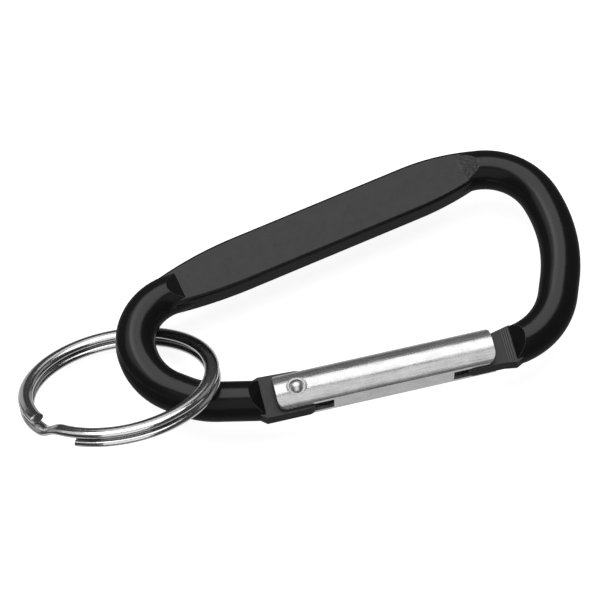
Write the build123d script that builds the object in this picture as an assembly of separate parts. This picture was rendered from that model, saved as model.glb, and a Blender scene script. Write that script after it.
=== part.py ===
from build123d import *
from math import atan2, cos, degrees, hypot, pi, radians, sin, sqrt, tan
import os

# Carabiner keyring: a bent rod with a flattened spine, a spring-loaded gate and a split ring.
# Millimetres. The loop lies in the XY plane and Z is its thickness. +X runs along the closed gate
# from the hinge to the nose, +Y from the gate to the spine. The pieces are drawn about the hinge
# rivet's axis, then moved so that the origin is where a strap or bar hangs in the wide bend.

# ---- frame ----
overall_length = 71.7       # outside of the loop, along the gate
overall_width = 35.7        # outside of the loop, from the gate's rod to the spine's bend
narrow_height = 18.7        # gate axis to the corner where the spine leaves the narrow end
rod_diameter = 6.0
hinge_setback = 24.5        # narrow end's outer face to the rivet axis
nose_setback = 14.3         # wide end's outer face to the nose shoulder
hinge_shoulder_x = -5.18    # where the rod ends and the hinge tongue begins
shoulder_run = 1.9          # length over which each shoulder slopes up to the rod's crest
heel_height = 7.0           # gate axis to the middle corner of the narrow end
stub_rise = 2.15            # gate axis to the corner where the hinge stub starts to bend
bend_radius_stub = 12.0
bend_radius_heel = 9.3
bend_radius_narrow = 8.0
bend_radius_top = 9.5
bend_radius_nose = 10.3
stub_corner_inset = 7.37    # narrow end's centreline to its three corners, along the gate
heel_corner_inset = 0.71
narrow_corner_outset = 1.13
top_corner_inset = 3.16     # wide end's centreline to its three corners
side_corner_outset = 1.11
nose_corner_inset = 5.05
top_corner_rise = 1.5       # highest centreline to the corner above it
stub_aim_x = -4.25          # where the hinge stub's centreline meets the gate axis
rod_overrun = 1.2           # rod drawn past each shoulder before it is faced off
side_straight = 0.2         # left between the bends of the wide end

# ---- flattened spine ----
spine_thickness = 4.0
spine_outward = 4.03        # centreline to the flattened bar's outer edge
spine_inward = 3.52         # centreline to its inner edge
spine_edge_radius = 0.55
swell_start_gap = -1.7      # narrow bend to the start of the swell, negative inside the bend
swell_length_narrow = 14.0  # over which the bar swells from the rod to its full width
swell_length_wide = 11.0
swell_end_gap = -2.9        # end of the swell to the wide bend, negative inside the bend
flat_start_gap = 2.1        # narrow bend to the flat
flat_end_gap = -0.3         # flat to the wide bend
ramp_length_narrow = 2.1
ramp_length_wide = 2.7

# ---- tongues ----
tongue_thickness = 2.4
tongue_root_inset = 0.8     # rod's side to the tongue's root, which is buried in the rod
hinge_tongue_top = 3.25     # gate axis to the tongue's edge inside the loop
hinge_tongue_bottom = 3.15
hinge_tongue_toe = 1.3      # radius of the tongue's outward corner
hinge_tongue_spread = 3.5   # where pressing has spread the metal, at the shoulder
nose_tongue_bottom = 2.85
nose_tongue_spread = 3.15
nose_tongue_top_inside = 2.15
nose_tongue_top_shoulder = 2.9
nose_tongue_overlap = 4.4   # length of the nose tongue that the closed gate covers
nose_tip_round = 1.0
cam_rest = 2.5              # rivet axis to the tongue's flat tip
cam_rise_per_rad = 0.7      # how far the tip pushes the pin for each radian the gate opens
gate_opening = 38.0         # degrees

# ---- gate ----
gate_outer_diameter = 6.6
gate_wall = 0.5
gate_flat_offset = 2.68     # gate axis to the flat that faces outwards
nose_gap = 3.1              # gate end to the nose shoulder
gate_ear = 3.25             # gate's hinge end behind the rivet axis
gate_corner_radius = 1.3
hinge_slot_end = 5.05       # outward slot at the hinge, measured from the rivet axis
nose_slot_length = 6.5      # outward slot at the nose end
web_notch_end = 2.35        # notch on the loop side, which the tongue swings through
slot_clearance = 0.13       # each side of the tongue
stop_tab_height = 3.3       # sheet folded inwards at the nose slot, which carries the spring

# ---- rivet, pin and spring ----
rivet_diameter = 2.0
rivet_clearance = 0.05      # radial, in the hinge tongue
rivet_head_diameter = 2.4
rivet_head_height = 0.85
rivet_seat_diameter = 3.2   # dished seat pressed into each side of the gate
rivet_seat_depth = 0.42
rivet_seat_flare = 0.35     # how much wider the seat is at its mouth than at its floor
pin_side_clearance = 0.18   # pin's head to the inside of the gate's flat
pin_head_length = 1.2
pin_head_chamfer = 0.25
pin_stem_diameter = 1.8
pin_stem_length = 5.0
pin_stem_chamfer = 0.3
pin_gap = 0.03              # pin's face to the tongue's tip
spring_wire = 0.5
spring_inset = 0.15         # spring's outside inside the pin head's rim
spring_coils = 12
spring_end_gap = 0.05

# ---- split ring ----
ring_outer_diameter = 30.0
ring_band = 2.2             # radial width of the rolled wire, which is oval in section
ring_layer = 1.35           # thickness of one turn
ring_layer_gap = 0.05
ring_centre_outset = 3.75   # narrow end's centreline to the ring's centre
ring_centre_y = 6.5
ring_over_y = 3.51          # gate axis to where the ring passes over the rod
ring_under_y = 16.18        # and to where it passes under it
ring_rod_clearance = 0.25   # ring's middle plane clears the rod by this and one turn
ring_crossover_start = 207.0    # degrees round the ring
ring_crossover_end = 225.0
ring_upper_end_gap = 5.0        # degrees from the crossover to the upper turn's free end
ring_lower_end_gap = 11.0       # degrees from the crossover to the lower turn's free end

# ---- sizes that follow ----
rod_radius = rod_diameter / 2
back_x = rod_radius - hinge_setback
front_x = overall_length - hinge_setback - rod_radius
top_y = overall_width - rod_diameter
nose_shoulder_x = overall_length - hinge_setback - nose_setback
gate_end_x = nose_shoulder_x - nose_gap
nose_slot_start = gate_end_x - nose_slot_length
gate_outer_radius = gate_outer_diameter / 2
gate_inner_radius = gate_outer_radius - gate_wall
slot_width = tongue_thickness + 2 * slot_clearance
rivet_seat_floor = gate_outer_radius - rivet_seat_depth
pin_face_x = cam_rest + pin_gap
pin_head_diameter = 2 * (gate_flat_offset - gate_wall - pin_side_clearance)
spring_outer_diameter = pin_head_diameter - 2 * spring_inset
ring_crossing_height = rod_radius + ring_layer + ring_rod_clearance
ring_slope = 2 * ring_crossing_height / (ring_under_y - ring_over_y)
ring_centre_z = ring_crossing_height - ring_slope * (ring_centre_y - ring_over_y)
beyond = 1.0                # how far cutting tools reach past what they cut


def half_turn(before, corner, after):
    """Half of the angle that a path turns by at a corner, in radians."""
    arriving = atan2(corner[1] - before[1], corner[0] - before[0])
    leaving = atan2(after[1] - corner[1], after[0] - corner[0])
    turn = (leaving - arriving + pi) % (2 * pi) - pi
    return abs(turn) / 2


# The rod's centreline: corners from the hinge stub round to the nose stub.
stub_corner = (back_x + stub_corner_inset, stub_rise)
heel_corner = (back_x + heel_corner_inset, heel_height)
narrow_corner = (back_x - narrow_corner_outset, narrow_height)
top_corner = (front_x - top_corner_inset, top_y + top_corner_rise)
nose_corner = (front_x - nose_corner_inset, 0.0)
side_corner = (front_x + side_corner_outset, (top_corner[1] + nose_corner[1]) / 2)


def stub_axis(x):
    """Height of the hinge stub's centreline above the gate axis."""
    return stub_rise * (stub_aim_x - x) / (stub_aim_x - stub_corner[0])


hinge_start = (hinge_shoulder_x + rod_overrun, stub_axis(hinge_shoulder_x + rod_overrun))
nose_reach = bend_radius_nose * tan(half_turn(side_corner, nose_corner, (hinge_shoulder_x, 0.0)))
nose_finish = (min(nose_shoulder_x, nose_corner[0] - nose_reach) - rod_overrun, 0.0)

spine_length = hypot(top_corner[0] - narrow_corner[0], top_corner[1] - narrow_corner[1])
spine_angle = degrees(atan2(top_corner[1] - narrow_corner[1], top_corner[0] - narrow_corner[0]))
narrow_reach = bend_radius_narrow * tan(half_turn(heel_corner, narrow_corner, top_corner))
top_reach = bend_radius_top * tan(half_turn(narrow_corner, top_corner, side_corner))
spine_plane = Plane(
    origin=(narrow_corner[0], narrow_corner[1], 0),
    x_dir=(cos(radians(spine_angle)), sin(radians(spine_angle)), 0),
    z_dir=(0, 0, 1),
)


def side_radius():
    """The wide end's middle bend takes what its two neighbours leave of the straight sides."""
    upper = hypot(side_corner[0] - top_corner[0], side_corner[1] - top_corner[1]) - top_reach
    lower = hypot(side_corner[0] - nose_corner[0], side_corner[1] - nose_corner[1]) - nose_reach
    reach = min(upper, lower) - side_straight
    return reach / tan(half_turn(top_corner, side_corner, nose_corner))


def shoulder_cutter():
    """What is taken off the rod between the shoulders, with a slope up to its crest at each."""
    foot = tongue_thickness / 2
    clear = rod_radius + beyond
    run = shoulder_run * (clear - foot) / (rod_radius - foot)
    above = Polyline(
        (hinge_shoulder_x, foot),
        (nose_shoulder_x, foot),
        (nose_shoulder_x + run, clear),
        (hinge_shoulder_x - run, clear),
        close=True,
    )
    slope = extrude(Plane.XZ * make_face(above), amount=rod_diameter, both=True)
    middle = Pos((hinge_shoulder_x + nose_shoulder_x) / 2, 0, 0) * Box(
        nose_shoulder_x - hinge_shoulder_x, 2 * rod_diameter, rod_diameter
    )
    return middle + slope + mirror(slope, about=Plane.XY)


def bent_rod():
    """The round rod, cut back at both shoulders."""
    corners = [
        hinge_start, stub_corner, heel_corner, narrow_corner,
        top_corner, side_corner, nose_corner, nose_finish,
    ]
    radii = [
        bend_radius_stub, bend_radius_heel, bend_radius_narrow,
        bend_radius_top, side_radius(), bend_radius_nose,
    ]
    path = FilletPolyline(*corners, radius=radii)
    section = Plane(origin=path @ 0, z_dir=path % 0) * Circle(rod_radius)
    return sweep(section, path=path) - shoulder_cutter()


def press_cutter():
    """What the press takes off one face of the spine: a flat with a ramp at each end."""
    start = narrow_reach + flat_start_gap
    finish = spine_length - top_reach - flat_end_gap
    depth = spine_thickness / 2
    clear = rod_radius + beyond
    run = (clear - depth) / (rod_radius - depth)
    profile = Polyline(
        (start, depth),
        (finish, depth),
        (finish + ramp_length_wide * run, clear),
        (start - ramp_length_narrow * run, clear),
        close=True,
    )
    side_view = Plane(origin=spine_plane.origin, x_dir=spine_plane.x_dir, z_dir=-spine_plane.y_dir)
    return extrude(side_view * make_face(profile), amount=rod_diameter, both=True)


def pressed_bar():
    """The flattened bar, which swells out of the rod at both ends of the spine."""
    root = sqrt(rod_radius ** 2 - (spine_thickness / 2) ** 2)
    begin = narrow_reach + swell_start_gap
    end = spine_length - top_reach - swell_end_gap
    left = begin + swell_length_narrow
    right = end - swell_length_wide

    def edge(offset, side):
        full = side * offset
        low = side * root
        swell_in = Bezier((begin, low), ((begin + left) / 2, full), (left, full))
        straight = Line((left, full), (right, full))
        swell_out = Bezier((right, full), ((right + end) / 2, full), (end, low))
        return [swell_in, straight, swell_out]

    caps = [Line((begin, -root), (begin, root)), Line((end, -root), (end, root))]
    outline = make_face(edge(spine_outward, 1) + edge(spine_inward, -1) + caps)
    bar = extrude(spine_plane * outline, amount=spine_thickness / 2, both=True)
    rims = bar.faces().filter_by(Axis.Z).edges()
    long_rims = [rim for rim in rims if rim.length > swell_length_wide / 2]
    return fillet(long_rims, spine_edge_radius)


def cam_point(angle):
    """Tongue tip where the pin's flat face bears once the gate has opened by an angle (radians)."""
    reach = cam_rest + cam_rise_per_rad * angle
    x = reach * cos(angle) - cam_rise_per_rad * sin(angle)
    y = reach * sin(angle) + cam_rise_per_rad * cos(angle)
    return (x, y)


def hinge_tongue():
    """Flat tongue for the hinge rivet, with a tip that pushes the pin as the gate opens."""
    root_x = hinge_shoulder_x - shoulder_run
    root_half = rod_radius - tongue_root_inset
    root_top = (root_x, stub_axis(root_x) + root_half)
    root_bottom = (root_x, stub_axis(root_x) - root_half)
    full = radians(gate_opening)
    cam_steps = 4
    cam = [cam_point(full * step / cam_steps) for step in range(cam_steps + 1)]
    crest_radius = (hinge_tongue_top - cam[-1][1]) / (1 - sin(full))
    crest = (cam[-1][0] - crest_radius * cos(full), hinge_tongue_top)
    crest_centre = (crest[0], crest[1] - crest_radius)
    toe = (cam_rest, hinge_tongue_toe - hinge_tongue_bottom)
    chin = (cam_rest - hinge_tongue_toe, -hinge_tongue_bottom)
    toe_centre = (chin[0], toe[1])
    top_shoulder = (hinge_shoulder_x, hinge_tongue_spread)
    bottom_shoulder = (hinge_shoulder_x, -hinge_tongue_bottom)
    outline = [
        Line(root_top, top_shoulder),
        Line(top_shoulder, crest),
        CenterArc(crest_centre, crest_radius, gate_opening, 90 - gate_opening),
        Spline(*cam),
        Line(cam[0], toe),
        CenterArc(toe_centre, hinge_tongue_toe, -90, 90),
        Line(chin, bottom_shoulder),
        Line(bottom_shoulder, root_bottom),
        Line(root_bottom, root_top),
    ]
    plate = extrude(make_face(outline), amount=tongue_thickness / 2, both=True)
    return plate - Cylinder(rivet_diameter / 2 + rivet_clearance, rod_diameter)


def nose_tongue():
    """Flat tongue that enters the gate's open end."""
    tip_x = gate_end_x - nose_tongue_overlap
    root_x = nose_shoulder_x + shoulder_run
    root_half = rod_radius - tongue_root_inset
    points = [
        (tip_x, nose_tongue_top_inside),
        (gate_end_x, nose_tongue_top_inside),
        (nose_shoulder_x, nose_tongue_top_shoulder),
        (root_x, root_half),
        (root_x, -root_half),
        (nose_shoulder_x, -nose_tongue_spread),
        (nose_shoulder_x - shoulder_run, -nose_tongue_bottom),
        (tip_x, -nose_tongue_bottom),
    ]
    plate = extrude(make_face(Polyline(*points, close=True)), amount=tongue_thickness / 2, both=True)
    tip_edges = plate.edges().filter_by(Axis.Z).group_by(Axis.X)[0]
    return fillet(tip_edges, nose_tip_round)


def make_frame():
    cutter = press_cutter()
    rod = bent_rod() - cutter - mirror(cutter, about=Plane.XY)
    return rod + pressed_bar() + hinge_tongue() + nose_tongue()


def gate_section(radius, flat_offset):
    """A circle with one flat, which faces away from the loop."""
    disc = Circle(radius)
    outside = Pos(0, -flat_offset - radius) * Rectangle(2 * radius, 2 * radius)
    return Plane.YZ * (Rot(0, 0, -90) * (disc - outside))


def make_gate():
    """Rolled sheet gate: closed in the middle, slotted at both ends, notched at the hinge."""
    length = gate_end_x + gate_ear
    shell = gate_section(gate_outer_radius, gate_flat_offset)
    bore = gate_section(gate_inner_radius, gate_flat_offset - gate_wall)
    solid_bar = Pos(-gate_ear, 0, 0) * extrude(shell, amount=length)
    hollow = Pos(-gate_ear, 0, 0) * extrude(bore, amount=length)

    # Seats pressed into both sides, so that the rivet's heads lie low.
    standing = (Align.CENTER, Align.CENTER, Align.MIN)
    boss_radius = rivet_seat_diameter / 2 + gate_wall
    mouth_radius = rivet_seat_diameter / 2
    floor_radius = mouth_radius - rivet_seat_flare
    boss = Pos(0, 0, rivet_seat_floor - gate_wall) * Cylinder(
        boss_radius, gate_wall + rivet_seat_depth, align=standing
    )
    seat = Pos(0, 0, rivet_seat_floor) * Cone(
        floor_radius, mouth_radius, rivet_seat_depth, align=standing
    )
    bosses = (boss + mirror(boss, about=Plane.XY)) & solid_bar
    seats = seat + mirror(seat, about=Plane.XY)
    gate = solid_bar - hollow + bosses - seats
    gate -= Cylinder(rivet_diameter / 2, 2 * gate_outer_diameter)

    # Slots for the tongues, open on the outward side, and the notch on the loop side.
    outward = (Align.MIN, Align.MAX, Align.CENTER)
    inward = (Align.MIN, Align.MIN, Align.CENTER)
    behind = gate_ear + beyond
    gate -= Pos(-behind, 0, 0) * Box(behind + hinge_slot_end, gate_outer_diameter, slot_width, align=outward)
    gate -= Pos(-behind, 0, 0) * Box(behind + web_notch_end, gate_outer_diameter, slot_width, align=inward)
    gate -= Pos(nose_slot_start, 0, 0) * Box(
        nose_slot_length + beyond, gate_outer_diameter, slot_width, align=outward
    )

    # The nose slot's metal is folded inwards and carries the spring.
    tab = Pos(nose_slot_start, -gate_flat_offset, 0) * Box(
        gate_wall, stop_tab_height, slot_width, align=(Align.MAX, Align.MIN, Align.CENTER)
    )
    gate += tab

    # Both ends are rounded in side view.
    middle = Pos((gate_end_x - gate_ear) / 2, (gate_outer_radius - gate_flat_offset) / 2)
    side_view = middle * RectangleRounded(
        length, gate_outer_radius + gate_flat_offset, gate_corner_radius
    )
    return gate & extrude(side_view, amount=gate_outer_diameter, both=True)


def make_rivet():
    """Hinge rivet with a domed head in each seat."""
    shank = Cylinder(rivet_diameter / 2, 2 * rivet_seat_floor)
    head_radius = rivet_head_diameter / 2
    dome_radius = (head_radius ** 2 + rivet_head_height ** 2) / (2 * rivet_head_height)
    ball = Pos(0, 0, rivet_seat_floor + rivet_head_height - dome_radius) * Sphere(dome_radius)
    head = ball & Pos(0, 0, rivet_seat_floor) * Cylinder(
        head_radius, rivet_head_height, align=(Align.CENTER, Align.CENTER, Align.MIN)
    )
    return shank + head + mirror(head, about=Plane.XY)


def make_pin():
    """Push pin: a flat head that bears on the tongue and a stem that centres the spring."""
    along_gate = Plane(origin=(pin_face_x, 0, 0), x_dir=(0, 1, 0), z_dir=(1, 0, 0))
    head = extrude(along_gate * Circle(pin_head_diameter / 2), amount=pin_head_length)
    head = chamfer(head.edges().filter_by(GeomType.CIRCLE).sort_by(Axis.X)[0], pin_head_chamfer)
    stem = extrude(along_gate * Circle(pin_stem_diameter / 2), amount=pin_head_length + pin_stem_length)
    return head + chamfer(stem.edges().filter_by(GeomType.CIRCLE).sort_by(Axis.X)[-1], pin_stem_chamfer)


def make_spring():
    """Compression spring between the pin's head and the gate's folded tab."""
    start = pin_face_x + pin_head_length + spring_end_gap + spring_wire / 2
    finish = nose_slot_start - gate_wall - spring_end_gap - spring_wire / 2
    coil_radius = (spring_outer_diameter - spring_wire) / 2
    pitch = (finish - start) / spring_coils
    helix = Helix(
        pitch=pitch, height=finish - start, radius=coil_radius, center=(start, 0, 0), direction=(1, 0, 0)
    )
    section = Plane(origin=helix @ 0, z_dir=helix % 0) * Circle(spring_wire / 2)
    return sweep(section, path=helix, is_frenet=True)


def make_ring():
    """Split ring: two turns joined by a crossover, laid tilted through the narrow end."""
    wire_radius = ring_outer_diameter / 2 - ring_band / 2
    level = (ring_layer + ring_layer_gap) / 2

    def section(angle, height):
        outline = Pos(wire_radius, height) * Ellipse(ring_band / 2, ring_layer / 2)
        return Rot(0, 0, angle) * (Plane.XZ * outline)

    def turn(start, sweep_angle, height):
        return revolve(section(start, height), axis=Axis.Z, revolution_arc=sweep_angle)

    crossover = ring_crossover_end - ring_crossover_start
    upper = turn(ring_crossover_end, 360 - crossover - ring_upper_end_gap, level)
    lower = turn(ring_crossover_end + ring_lower_end_gap, 360 - crossover - ring_lower_end_gap, -level)
    loft_steps = 6
    stations = []
    for step in range(loft_steps + 1):
        share = step / loft_steps
        angle = ring_crossover_start + crossover * share
        stations.append(section(angle, -level * cos(pi * share)))
    joggle = loft(stations)
    tilted = Plane(
        origin=(back_x - ring_centre_outset, ring_centre_y, ring_centre_z),
        x_dir=(1, 0, 0),
        z_dir=(0, ring_slope, 1),
    )
    return tilted * (upper + joggle + lower)


seat_to_origin = Pos(rod_radius - front_x, -side_corner[1], 0)
parts = {
    "frame_body": seat_to_origin * make_frame(),
    "gate": seat_to_origin * make_gate(),
    "hinge_rivet": seat_to_origin * make_rivet(),
    "push_pin": seat_to_origin * make_pin(),
    "gate_spring": seat_to_origin * make_spring(),
    "split_ring": seat_to_origin * make_ring(),
}

os.makedirs("parts", exist_ok=True)
for name, shape in parts.items():
    shape.label = name
    export_step(shape, f"parts/{name}.step")
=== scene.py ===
import math

import bmesh
import bpy
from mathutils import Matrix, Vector


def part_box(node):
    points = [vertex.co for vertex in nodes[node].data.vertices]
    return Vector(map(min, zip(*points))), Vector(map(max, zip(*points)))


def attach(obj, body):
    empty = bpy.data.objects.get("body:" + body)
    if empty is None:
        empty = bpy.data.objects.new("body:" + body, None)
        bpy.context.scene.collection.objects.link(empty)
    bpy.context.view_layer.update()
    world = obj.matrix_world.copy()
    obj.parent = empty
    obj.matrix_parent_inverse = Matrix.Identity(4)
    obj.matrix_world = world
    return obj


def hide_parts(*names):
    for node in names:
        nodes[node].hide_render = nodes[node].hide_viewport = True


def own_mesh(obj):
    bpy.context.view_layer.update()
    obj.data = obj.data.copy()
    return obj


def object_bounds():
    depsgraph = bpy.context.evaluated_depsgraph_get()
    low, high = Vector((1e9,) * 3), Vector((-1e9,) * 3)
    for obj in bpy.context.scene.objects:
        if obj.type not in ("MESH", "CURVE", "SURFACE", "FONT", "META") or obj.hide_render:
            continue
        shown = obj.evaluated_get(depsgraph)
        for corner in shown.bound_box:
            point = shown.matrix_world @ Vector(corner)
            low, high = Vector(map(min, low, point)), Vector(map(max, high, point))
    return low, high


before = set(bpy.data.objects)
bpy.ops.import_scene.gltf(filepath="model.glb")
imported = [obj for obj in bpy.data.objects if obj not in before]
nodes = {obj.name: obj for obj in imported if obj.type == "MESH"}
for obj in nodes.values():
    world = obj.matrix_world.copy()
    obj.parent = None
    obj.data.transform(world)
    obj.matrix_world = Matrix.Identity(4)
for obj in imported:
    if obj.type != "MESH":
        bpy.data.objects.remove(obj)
cad_low, cad_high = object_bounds()

# ---------------------------------------------------------------- sizes, in metres
MM = 0.001
FRAME_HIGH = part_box("frame_body")[1]
GATE_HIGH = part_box("gate")[1]
ROD_RADIUS = (FRAME_HIGH.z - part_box("frame_body")[0].z) / 2
SPRING_WIRE = 0.5 * MM
SHOULDER = GATE_HIGH.x + 3.1 * MM       # nose shoulder, past the gate's open end
MARKS_START = SHOULDER - 1.5 * MM       # milling marks beside that shoulder
MARKS_FINISH = SHOULDER + 0.2 * MM
MARKS_PITCH = 0.33 * MM
RAMP_START = FRAME_HIGH.x - 15.2 * MM   # the spine's ramp into the wide bend
RAMP_FINISH = FRAME_HIGH.x - 9.6 * MM
RAMP_SIDE = FRAME_HIGH.y - 6.0 * MM
RAMP_FADE = 0.4 * MM

# ---------------------------------------------------------------- base colours, linear
GLOSS_BLACK = (0.0085, 0.0085, 0.0086)
SATIN_BLACK = (0.006, 0.006, 0.006)
SATIN_CHARCOAL = (0.030, 0.030, 0.0303)
HAMMERED_BLACK = (0.020, 0.020, 0.020)
HAMMERED_GREY = (0.075, 0.075, 0.076)
MILLED_GREY = (0.10, 0.10, 0.102)
RUBBED_GREY = (0.26, 0.26, 0.262)
DULL_ALUMINIUM = (0.47, 0.47, 0.475)
# near-white grey for the gate's edges: a painted highlight
CLEAN_ALUMINIUM = (0.56, 0.56, 0.565)
EDGE_HIGHLIGHT_ALUMINIUM = (0.85, 0.85, 0.86)
DULL_RIVET = (0.55, 0.55, 0.56)
CLEAN_RIVET = (0.72, 0.72, 0.72)
NICKEL = (0.62, 0.62, 0.62)
RUBBED_NICKEL = (0.78, 0.78, 0.78)
WHITE = (1.0, 1.0, 1.0, 1.0)
TABLE_GREY = (0.60, 0.60, 0.60, 1.0)

# ---------------------------------------------------------------- camera and studio
CAMERA_AZIMUTH = math.radians(-13.75)   # from square to the gate, towards -X
CAMERA_ELEVATION = math.radians(65.0)   # above the loop's plane
CAMERA_DISTANCE = 0.500
CAMERA_AIM = Vector((-29.66, -1.51, 0.0)) * MM
CAMERA_SENSOR = 36.0
CAMERA_LENS = 200.25
CAMERA_SHIFT = (-0.0835, -0.0109)
CAMERA_CLIP = (0.01, 10.0)

LIGHT_DISTANCE = 0.6
WORLD_STRENGTH = 0.06
TABLE_STRENGTH = 0.85
TABLE_HALF_SIZE = 1.5

METAL = ("gate", "hinge_rivet", "split_ring")
RING_AND_RIVET = ("split_ring", "hinge_rivet")
RING = ("split_ring",)
FRAME = ("frame_body",)

# name, direction it stands in, half angle in degrees, radiance, nodes it lights (all if empty)
SOFTBOXES = (
    ("key", (0.06, 0.42, 0.90), 28.5, 2.2, ()),
    ("side_key", (-0.50, 0.41, 0.76), 20.0, 0.8, ()),
    ("side_core", (-0.40, 0.41, 0.82), 8.0, 0.9, ()),
    ("front_fill", (-0.10, -0.66, 0.76), 26.0, 0.4, ()),
    ("metal_fill", (-0.10, -0.60, 0.79), 27.0, 0.75, METAL),
    ("table_glow", (0.0, 0.0, -1.0), 62.0, 0.60, METAL),
    ("table_glint", (0.0, 0.0, -1.0), 60.0, 0.09, FRAME),
    ("ring_left", (-0.86, 0.50, 0.12), 20.0, 0.35, RING_AND_RIVET),
    ("ring_right", (0.84, 0.52, 0.12), 20.0, 0.25, RING_AND_RIVET),
    ("ring_back", (0.10, 0.93, 0.36), 13.0, 0.8, RING),
    ("ring_rim", (-0.38, 0.88, -0.25), 11.0, 0.40, RING),
    ("ring_inner", (0.44, 0.84, -0.30), 8.0, 0.25, RING),
)


# ---------------------------------------------------------------- node helpers
class Look:
    """A Principled material and the few node calls that the looks below are built from."""

    def __init__(self, name, **fixed):
        self.material = bpy.data.materials.new(name)
        self.material.use_nodes = True
        self.tree = self.material.node_tree
        self.shader = self.tree.nodes["Principled BSDF"]
        self.coords = self.tree.nodes.new("ShaderNodeTexCoord")
        for socket, value in fixed.items():
            self.shader.inputs[socket.replace("_", " ")].default_value = value

    def put(self, socket, value):
        """Feed an input socket from another output, or set it."""
        if isinstance(value, bpy.types.NodeSocket):
            self.tree.links.new(value, socket)
        else:
            socket.default_value = value

    def math(self, operation, a, b=0.0):
        """One Math node."""
        node = self.tree.nodes.new("ShaderNodeMath")
        node.operation = operation
        self.put(node.inputs[0], a)
        self.put(node.inputs[1], b)
        return node.outputs[0]

    def times(self, a, b):
        """The product of two numbers."""
        return self.math("MULTIPLY", a, b)

    def split(self, vector):
        """The three components of a vector."""
        node = self.tree.nodes.new("ShaderNodeSeparateXYZ")
        self.put(node.inputs[0], vector)
        return node.outputs

    def stretched(self, scale):
        """Object coordinates scaled per axis, per metre."""
        node = self.tree.nodes.new("ShaderNodeMapping")
        node.inputs["Scale"].default_value = scale
        self.put(node.inputs["Vector"], self.coords.outputs["Object"])
        return node.outputs[0]

    def noise(self, per_metre, detail=2.0, roughness=0.5, vector=None):
        """Noise with about this many features per metre, on object coordinates unless told."""
        node = self.tree.nodes.new("ShaderNodeTexNoise")
        node.inputs["Scale"].default_value = per_metre
        node.inputs["Detail"].default_value = detail
        node.inputs["Roughness"].default_value = roughness
        self.put(node.inputs["Vector"], self.coords.outputs["Object"] if vector is None else vector)
        return node.outputs["Fac"]

    def spread(self, value, low, high, to_low=0.0, to_high=1.0):
        """Map a value from one range to another, held at the ends."""
        node = self.tree.nodes.new("ShaderNodeMapRange")
        node.clamp = True
        for socket, setting in zip(node.inputs, (value, low, high, to_low, to_high)):
            self.put(socket, setting)
        return node.outputs[0]

    def band(self, value, low, high, rise, fall):
        """1 between low and high, 0 outside, with soft edges inside the band."""
        return self.times(self.spread(value, low, low + rise), self.spread(value, high, high - fall))

    def blend(self, factor, a, b):
        """Mix two numbers."""
        node = self.tree.nodes.new("ShaderNodeMix")
        self.put(node.inputs["Factor"], factor)
        self.put(node.inputs["A"], a)
        self.put(node.inputs["B"], b)
        return node.outputs["Result"]

    def tint(self, factor, a, b):
        """Mix two colours, each a triple or another node's output."""
        node = self.tree.nodes.new("ShaderNodeMix")
        node.data_type = "RGBA"
        self.put(node.inputs["Factor"], factor)
        for socket, colour in ((node.inputs[6], a), (node.inputs[7], b)):
            self.put(socket, (*colour, 1.0) if isinstance(colour, tuple) else colour)
        return node.outputs[2]

    def edges(self, radius, sharpness):
        """1 on convex and concave edges within a radius, 0 on open faces."""
        bevel = self.tree.nodes.new("ShaderNodeBevel")
        bevel.samples = 4
        bevel.inputs["Radius"].default_value = radius
        dot = self.tree.nodes.new("ShaderNodeVectorMath")
        dot.operation = "DOT_PRODUCT"
        geometry = self.tree.nodes.new("ShaderNodeNewGeometry")
        self.put(dot.inputs[0], bevel.outputs[0])
        self.put(dot.inputs[1], geometry.outputs["Normal"])
        return self.spread(dot.outputs["Value"], 1.0, 1.0 - sharpness)

    def bump(self, height, distance, strength, under=None):
        """Relief of a given depth, laid over another relief if there is one."""
        node = self.tree.nodes.new("ShaderNodeBump")
        node.inputs["Strength"].default_value = strength
        node.inputs["Distance"].default_value = distance
        self.put(node.inputs["Height"], height)
        if under is not None:
            self.put(node.inputs["Normal"], under)
        return node.outputs[0]

    def finish(self, colour, roughness, normal):
        """Feed the shader and hand the material over."""
        self.put(self.shader.inputs["Base Color"], colour)
        self.put(self.shader.inputs["Roughness"], roughness)
        self.put(self.shader.inputs["Normal"], normal)
        return self.material


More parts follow.
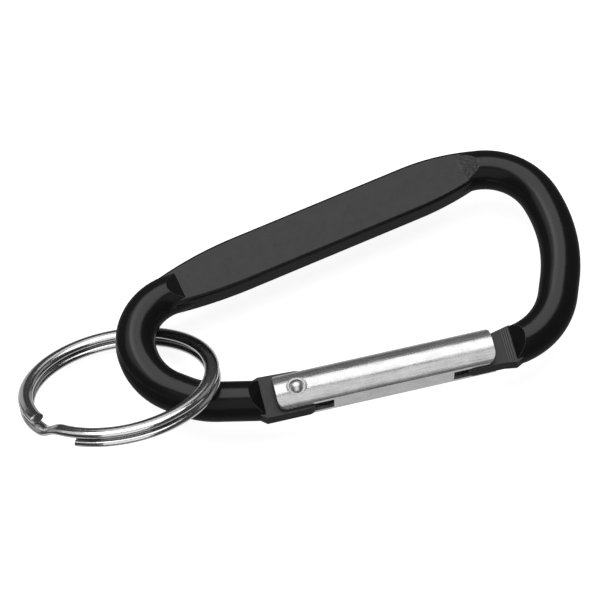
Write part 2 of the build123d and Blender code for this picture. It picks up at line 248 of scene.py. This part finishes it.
# ---------------------------------------------------------------- materials
def anodised_black():
    """Glossy black anodising on the drawn rod, satin where the press and the cutter left flats."""
    look = Look("anodised_black", Specular_IOR_Level=0.30, IOR=1.5)
    place = look.split(look.coords.outputs["Object"])
    facing = look.split(look.coords.outputs["Normal"])
    upright = look.math("ABSOLUTE", facing[2])

    # A flat faces straight up or down, below the crest of the round rod.
    height = look.math("ABSOLUTE", place[2])
    below_crest = look.spread(height, ROD_RADIUS * 0.80, ROD_RADIUS * 0.76)
    flat = look.times(look.spread(upright, 0.985, 0.998), below_crest)

    # The ramp at the wide end of the spine leans towards -X, and kept the press's hammered texture.
    along = look.band(place[0], RAMP_START, RAMP_FINISH, RAMP_FADE, RAMP_FADE)
    beside = look.times(along, look.spread(place[1], RAMP_SIDE, RAMP_SIDE + MM))
    leaning = look.times(look.spread(facing[0], -0.24, -0.30), look.spread(upright, 0.84, 0.90))
    ramp = look.times(beside, leaning)
    pressed = look.math("MAXIMUM", flat, ramp)

    mottle = look.noise(700.0, detail=5.0, roughness=0.65)
    grain = look.noise(12000.0, detail=1.0)
    hammered = look.noise(3800.0, detail=3.0, roughness=0.6)
    swell = look.noise(160.0, detail=1.0)
    drawn_lines = look.stretched((700.0, 9000.0, 9000.0))
    scratches = look.noise(1.0, detail=3.0, roughness=0.6, vector=drawn_lines)
    edge_wear_and_highlight = look.times(look.edges(0.13 * MM, 0.02), look.spread(mottle, 0.38, 0.60))

    gloss_roughness = look.spread(scratches, 0.40, 0.75, to_low=0.19, to_high=0.27)
    satin_roughness = look.spread(mottle, 0.35, 0.65, to_low=0.30, to_high=0.42)
    hammered_roughness = 0.55
    roughness = look.blend(ramp, look.blend(flat, gloss_roughness, satin_roughness), hammered_roughness)

    # Milling marks cross the nose tongue beside its shoulder.
    ridges = look.math("SINE", look.times(place[0], 2 * math.pi / MARKS_PITCH))
    near_nose = look.band(place[0], MARKS_START, MARKS_FINISH, 0.3 * MM, 0.2 * MM)
    on_tongue = look.times(near_nose, look.spread(place[1], GATE_HIGH.y + MM, GATE_HIGH.y))
    marks = look.times(ridges, look.times(on_tongue, flat))

    satin = look.tint(look.spread(mottle, 0.3, 0.7), SATIN_BLACK, SATIN_CHARCOAL)
    rough_black = look.tint(look.spread(hammered, 0.42, 0.60), HAMMERED_BLACK, HAMMERED_GREY)
    colour = look.tint(flat, GLOSS_BLACK, satin)
    colour = look.tint(ramp, colour, rough_black)
    colour = look.tint(look.times(edge_wear_and_highlight, 0.35), colour, RUBBED_GREY)
    colour = look.tint(look.spread(marks, 0.1, 1.0), colour, MILLED_GREY)

    ripple = look.bump(swell, 0.02 * MM, 0.6)
    fine = look.bump(look.times(grain, pressed), 0.006 * MM, 0.8, under=ripple)
    beaten = look.bump(look.times(hammered, ramp), 0.07 * MM, 0.9, under=fine)
    normal = look.bump(marks, 0.02 * MM, 0.9, under=beaten)
    return look.finish(colour, roughness, normal)


def tumbled_aluminium():
    """Bare rolled sheet after tumbling: bright, with a soft bloom, fine marks along the roll and a
    painted highlight along the sheet's edges.
    """
    look = Look("tumbled_aluminium", Metallic=0.80)
    rolled_lines = look.stretched((260.0, 5200.0, 5200.0))
    streaks = look.noise(1.0, detail=3.0, roughness=0.6, vector=rolled_lines)
    pits = look.noise(9000.0)
    cloud = look.noise(520.0, detail=4.0, roughness=0.6)
    edge_wear_and_highlight = look.edges(0.10 * MM, 0.3)

    marks = look.math("ADD", streaks, look.times(pits, 0.5))
    roughness = look.spread(marks, 0.60, 0.90, to_low=0.16, to_high=0.36)
    colour = look.tint(look.spread(cloud, 0.35, 0.65), DULL_ALUMINIUM, CLEAN_ALUMINIUM)
    # Painted highlight: the sheet's edges are lightened towards a near-white grey.
    colour = look.tint(look.times(edge_wear_and_highlight, 0.7), colour, EDGE_HIGHLIGHT_ALUMINIUM)

    wave = look.bump(cloud, 0.022 * MM, 0.6)
    drawn = look.bump(streaks, 0.005 * MM, 0.8, under=wave)
    normal = look.bump(pits, 0.003 * MM, 0.7, under=drawn)
    return look.finish(colour, roughness, normal)


def rivet_metal():
    """Peened steel: soft gloss over small hammer marks."""
    look = Look("rivet_metal", Metallic=1.0)
    hammer = look.noise(2600.0)
    roughness = look.spread(hammer, 0.35, 0.65, to_low=0.30, to_high=0.44)
    colour = look.tint(hammer, DULL_RIVET, CLEAN_RIVET)
    return look.finish(colour, roughness, look.bump(hammer, 0.02 * MM, 0.6))


def inner_steel(name, shaded_tone, rough):
    """Plain steel inside the gate, its colour set dark as painted shade for the shadow inside the gate,
    with a fine grain from a dark to a lighter grey.
    """
    look = Look(name, Metallic=1.0)
    grain = look.noise(6000.0)
    light_tone = shaded_tone * 1.3
    roughness = look.spread(grain, 0.3, 0.7, to_low=rough, to_high=rough + 0.12)
    colour = look.tint(grain, (shaded_tone, shaded_tone, shaded_tone), (light_tone, light_tone, light_tone))
    return look.finish(colour, roughness, look.bump(grain, 0.008 * MM, 0.5))


def polished_nickel():
    """Plated spring wire: bright, with faint drawing ripples and rubbed edges."""
    look = Look("polished_nickel", Metallic=1.0)
    ripple = look.noise(420.0)
    fine = look.noise(5200.0)
    edge_wear_and_highlight = look.edges(0.12 * MM, 0.3)
    roughness = look.spread(fine, 0.35, 0.7, to_low=0.11, to_high=0.21)
    colour = look.tint(edge_wear_and_highlight, NICKEL, RUBBED_NICKEL)
    wavy = look.bump(ripple, 0.05 * MM, 0.7)
    return look.finish(colour, roughness, look.bump(fine, 0.004 * MM, 0.5, under=wavy))


# ---------------------------------------------------------------- pieces
def dress(name, material):
    """Give a CAD node its material."""
    node = nodes[name]
    node.data.materials.clear()
    node.data.materials.append(material)


def coil_rings(low, high, turns, segments, sides):
    """Rings of points round the wire, one ring per step along the coil."""
    wire_radius = SPRING_WIRE / 2
    coil_radius = (high.z - low.z) / 2 - wire_radius
    middle = (low + high) / 2
    steps = turns * segments
    closed_advance = SPRING_WIRE / segments         # the first and last turns lie closed
    open_length = high.x - low.x - SPRING_WIRE - 2 * segments * closed_advance
    open_advance = open_length / (steps - 2 * segments)

    rings = []
    along = low.x + wire_radius
    for step in range(steps + 1):
        angle = 2 * math.pi * step / segments
        outward = Vector((0.0, math.cos(angle), math.sin(angle)))
        centre = Vector((along, middle.y, middle.z)) + outward * coil_radius
        ring = []
        for side in range(sides):
            turn = 2 * math.pi * side / sides
            offset = outward * math.cos(turn) + Vector((1.0, 0.0, 0.0)) * math.sin(turn)
            ring.append(centre + offset * wire_radius)
        rings.append(ring)
        in_end_turn = step < segments or step >= steps - segments
        along += closed_advance if in_end_turn else open_advance
    return rings


def coil_spring(turns, segments, sides):
    """The gate's spring as a coil with closed end turns, in place of the CAD spring."""
    low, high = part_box("gate_spring")
    shape = bmesh.new()
    rings = [[shape.verts.new(point) for point in ring]
             for ring in coil_rings(low, high, turns, segments, sides)]
    for first, second in zip(rings, rings[1:]):
        for side in range(sides):
            beside = (side + 1) % sides
            face = shape.faces.new((first[side], first[beside], second[beside], second[side]))
            face.smooth = True
    shape.faces.new(rings[0])
    shape.faces.new(rings[-1])
    bmesh.ops.recalc_face_normals(shape, faces=shape.faces)
    mesh = bpy.data.meshes.new("spring_coil")
    shape.to_mesh(mesh)
    shape.free()

    coil = bpy.data.objects.new("spring_coil", mesh)
    bpy.context.scene.collection.objects.link(coil)
    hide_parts("gate_spring")
    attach(coil, "gate")
    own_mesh(coil)
    return coil


# ---------------------------------------------------------------- camera
def add_camera():
    """A long lens, looking down on the loop from a little left of square to the gate."""
    data = bpy.data.cameras.new("camera")
    data.sensor_width = CAMERA_SENSOR
    data.lens = CAMERA_LENS
    data.clip_start, data.clip_end = CAMERA_CLIP
    data.shift_x, data.shift_y = CAMERA_SHIFT
    camera = bpy.data.objects.new("camera", data)
    bpy.context.scene.collection.objects.link(camera)
    back = Vector((
        math.sin(CAMERA_AZIMUTH) * math.cos(CAMERA_ELEVATION),
        -math.cos(CAMERA_AZIMUTH) * math.cos(CAMERA_ELEVATION),
        math.sin(CAMERA_ELEVATION),
    ))
    camera.location = CAMERA_AIM + back * CAMERA_DISTANCE
    camera.rotation_mode = "QUATERNION"
    camera.rotation_quaternion = (-back).to_track_quat("-Z", "Y")
    bpy.context.scene.camera = camera


# ---------------------------------------------------------------- studio
def add_softbox(name, toward, half_angle, radiance, lit):
    """A square light that shows in a mirror as a patch of a given half angle and brightness.

    Where it names the nodes that it lights, it is flagged off the others, as a card would be.
    """
    side = 2 * LIGHT_DISTANCE * math.tan(math.radians(half_angle))
    data = bpy.data.lights.new(name, "AREA")
    data.shape = "SQUARE"
    data.size = side
    data.energy = radiance * math.pi * side * side
    light = bpy.data.objects.new(name, data)
    bpy.context.scene.collection.objects.link(light)
    direction = Vector(toward).normalized()
    light.location = (cad_low + cad_high) / 2 + direction * LIGHT_DISTANCE
    light.rotation_mode = "QUATERNION"
    light.rotation_quaternion = direction.to_track_quat("Z", "Y")
    if lit:
        receivers = bpy.data.collections.new(name + "_receivers")
        for node in lit:
            receivers.objects.link(nodes[node])
        light.light_linking.receiver_collection = receivers


def add_floor(low):
    """A pale table lit from within, as for a product shot."""
    extent = TABLE_HALF_SIZE
    mesh = bpy.data.meshes.new("floor")
    corners = [(-extent, -extent), (extent, -extent), (extent, extent), (-extent, extent)]
    mesh.from_pydata([(x, y, low.z) for x, y in corners], [], [(0, 1, 2, 3)])
    floor = bpy.data.objects.new("floor", mesh)
    bpy.context.scene.collection.objects.link(floor)
    look = Look("pale_table", Roughness=0.8, Base_Color=TABLE_GREY,
                Emission_Color=WHITE, Emission_Strength=TABLE_STRENGTH)
    mesh.materials.append(look.material)
    floor.visible_glossy = False
    floor.visible_shadow = False


def add_world():
    """A dim, even room."""
    world = bpy.data.worlds.new("studio")
    world.use_nodes = True
    background = world.node_tree.nodes["Background"]
    background.inputs["Color"].default_value = WHITE
    background.inputs["Strength"].default_value = WORLD_STRENGTH
    bpy.context.scene.world = world


# ---------------------------------------------------------------- the scene
dress("frame_body", anodised_black())
dress("gate", tumbled_aluminium())
dress("hinge_rivet", rivet_metal())
# Painted shade: the pin is coloured dark for the shadow inside the gate.
dress("push_pin", inner_steel("pin_steel", shaded_tone=0.12, rough=0.25))
dress("split_ring", polished_nickel())
coil = coil_spring(turns=12, segments=24, sides=10)
# Painted shade: the spring is coloured dark for the shadow inside the gate.
coil.data.materials.append(inner_steel("spring_steel", shaded_tone=0.16, rough=0.30))

bpy.context.scene.view_settings.view_transform = "Standard"
add_camera()
add_world()
for softbox in SOFTBOXES:
    add_softbox(*softbox)
add_floor(cad_low)
